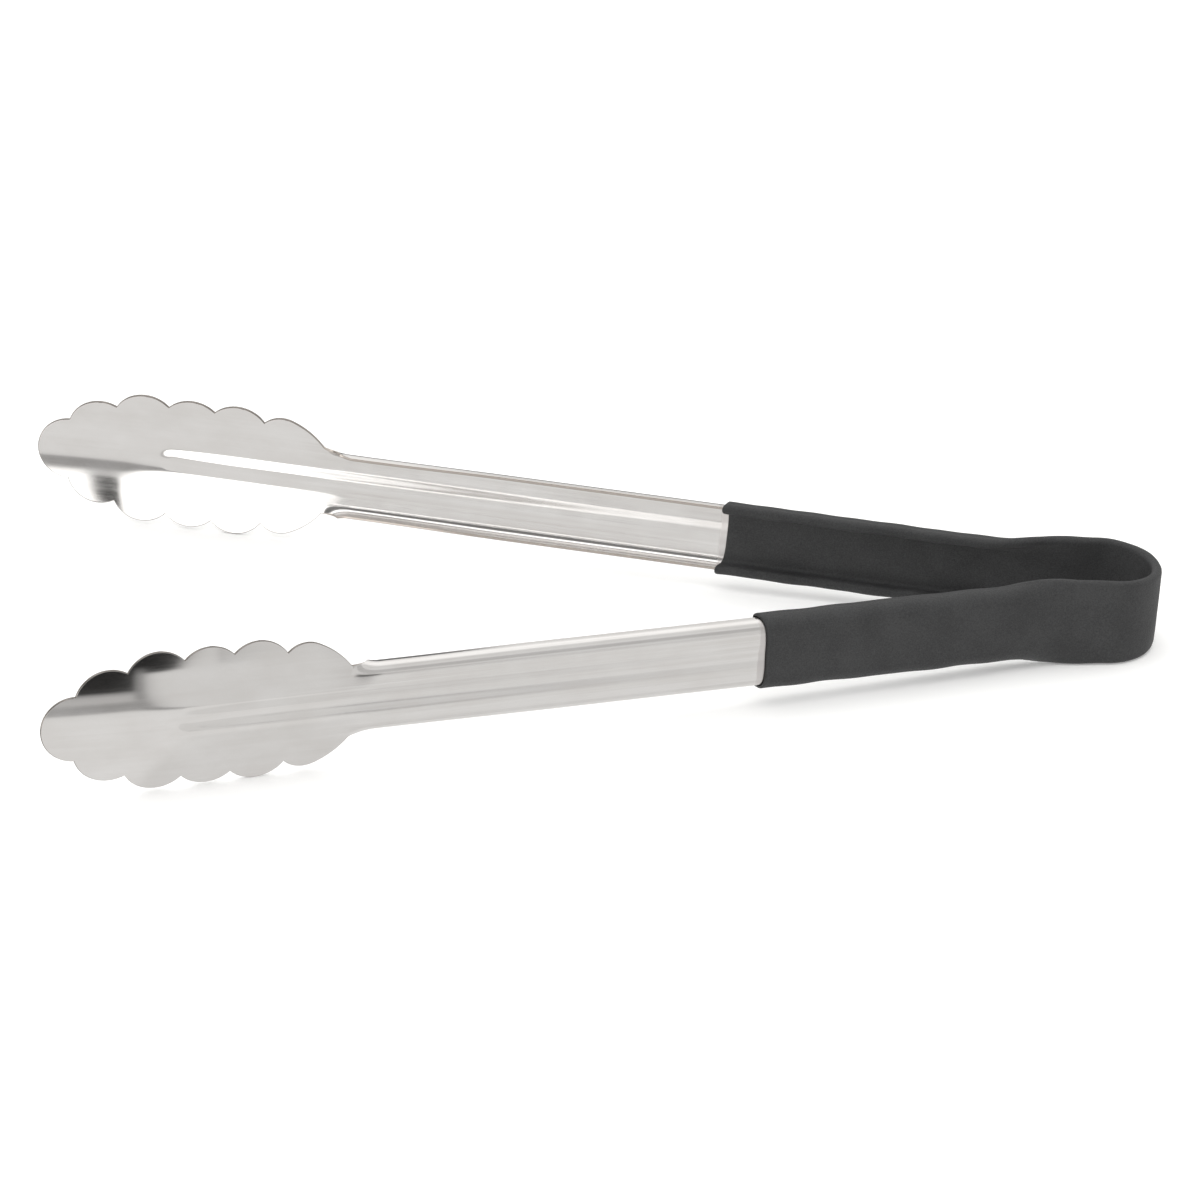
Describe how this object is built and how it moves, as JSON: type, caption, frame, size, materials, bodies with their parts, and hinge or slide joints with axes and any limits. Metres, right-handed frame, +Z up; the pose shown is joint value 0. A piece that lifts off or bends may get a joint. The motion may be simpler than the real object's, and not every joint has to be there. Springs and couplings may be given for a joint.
{
  "type": "spring loaded kitchen tongs",
  "caption": "One-piece stainless strip tongs with a sprung bow, scalloped dished pads on channel arms, and a dipped dark vinyl grip over the handle end.",
  "frame": {"origin": "on the floor under the middle of the tongs' bounding box, the tongs lying on their side", "axes": "+X towards the bow (handle end), -X towards the pads; +Y towards the far arm, the near arm is at -Y; +Z up. The arms open and close in a plane tipped 1.7 degrees about Y, because the wide pads and the narrower bow both rest on the floor"},
  "size_m": [0.3042, 0.181, 0.0394],
  "materials": {
    "steel": "satin, brushed along the strip",
    "vinyl": "matt dip-moulded vinyl with a fine grain"
  },
  "bodies": {
    "bow_crown": {"spring_crown": "steel", "grip_crown": "vinyl"},
    "near_bow_1": {"near_spring_link_1": "steel", "near_grip_link_1": "vinyl"},
    "near_bow_2": {"near_spring_link_2": "steel", "near_grip_link_2": "vinyl"},
    "near_side": {"near_arm": "steel", "near_grip": "vinyl"},
    "far_bow_1": {"far_spring_link_1": "steel", "far_grip_link_1": "vinyl"},
    "far_bow_2": {"far_spring_link_2": "steel", "far_grip_link_2": "vinyl"},
    "far_side": {"far_arm": "steel", "far_grip": "vinyl"}
  },
  "joints": [
    {"name": "near_arm_squeeze", "type": "hinge", "parent": "near_bow_2", "child": "near_side", "pos_m": [0.12745, -0.01437, 0.01256], "axis": [-0.0304, 0, -0.9995], "range_deg": [-1.5, 5.72], "stiffness_Nm_per_rad": 18},
    {"name": "near_bow_flex_1", "type": "hinge", "parent": "bow_crown", "child": "near_bow_1", "pos_m": [0.14864, -0.00672, 0.01192], "axis": [-0.0304, 0, -0.9995], "range_deg": [-1.5, 5.72], "stiffness_Nm_per_rad": 18},
    {"name": "near_bow_flex_2", "type": "hinge", "parent": "near_bow_1", "child": "near_bow_2", "pos_m": [0.13941, -0.01382, 0.0122], "axis": [-0.0304, 0, -0.9995], "range_deg": [-1.5, 5.72], "stiffness_Nm_per_rad": 18},
    {"name": "far_arm_squeeze", "type": "hinge", "parent": "far_bow_2", "child": "far_side", "pos_m": [0.12745, 0.01437, 0.01256], "axis": [0.0304, 0, 0.9995], "range_deg": [-1.5, 5.72], "stiffness_Nm_per_rad": 18},
    {"name": "far_bow_flex_1", "type": "hinge", "parent": "bow_crown", "child": "far_bow_1", "pos_m": [0.14864, 0.00672, 0.01192], "axis": [0.0304, 0, 0.9995], "range_deg": [-1.5, 5.72], "stiffness_Nm_per_rad": 18},
    {"name": "far_bow_flex_2", "type": "hinge", "parent": "far_bow_1", "child": "far_bow_2", "pos_m": [0.13941, 0.01382, 0.0122], "axis": [0.0304, 0, 0.9995], "range_deg": [-1.5, 5.72], "stiffness_Nm_per_rad": 18}
  ],
  "couplings": [
    {"joint": "near_bow_flex_1", "follows": "near_arm_squeeze", "ratio": 1},
    {"joint": "near_bow_flex_2", "follows": "near_arm_squeeze", "ratio": 1},
    {"joint": "far_bow_flex_1", "follows": "far_arm_squeeze", "ratio": 1},
    {"joint": "far_bow_flex_2", "follows": "far_arm_squeeze", "ratio": 1}
  ]
}
